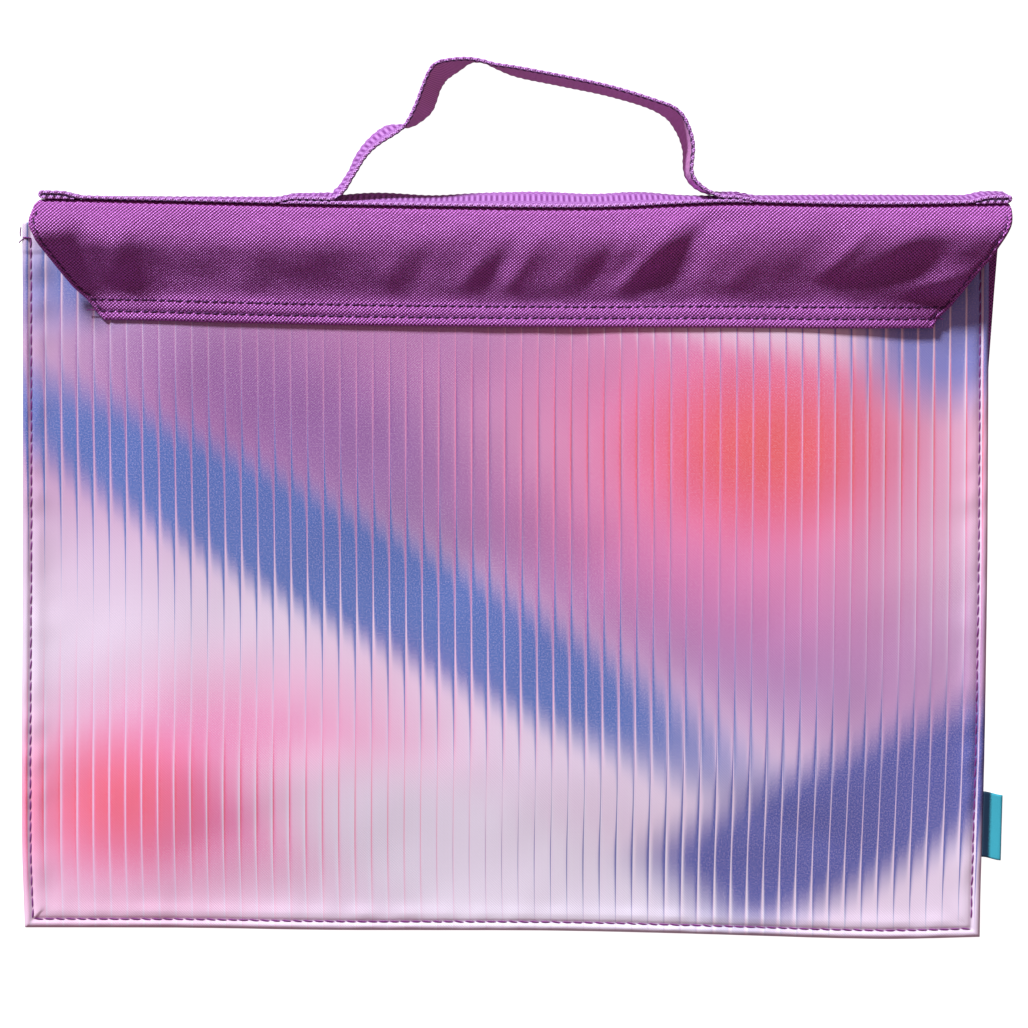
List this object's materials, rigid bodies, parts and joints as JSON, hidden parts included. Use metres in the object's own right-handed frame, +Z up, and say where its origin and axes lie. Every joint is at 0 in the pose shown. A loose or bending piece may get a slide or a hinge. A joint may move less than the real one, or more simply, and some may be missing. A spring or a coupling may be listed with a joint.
{
  "type": "library bag",
  "caption": "Flat cloth library bag lying on its back: sewn pouch, deep slant-cut flap over the mouth and a webbing handle along the top.",
  "frame": {"origin": "middle of the bounding box, on the surface that the bag lies on", "axes": "+X to the bag's right seen from its front, +Y from the lower edge to the handle, +Z up out of the front panel"},
  "size_m": [0.3832, 0.3434, 0.0256],
  "materials": {
    "printed_cloth": "printed polyester oxford, coated at the back, satin",
    "plain_cloth": "purple polyester oxford, plain weave, matt",
    "webbing": "woven polyester webbing with cross ribs",
    "label": "woven label tape, bare"
  },
  "bodies": {
    "root": {"back_panel": "printed_cloth", "front_panel": "printed_cloth", "flap": "plain_cloth", "bridge_webbing": "webbing", "handle_webbing": "webbing", "side_label": "label"}
  },
  "joints": []
}
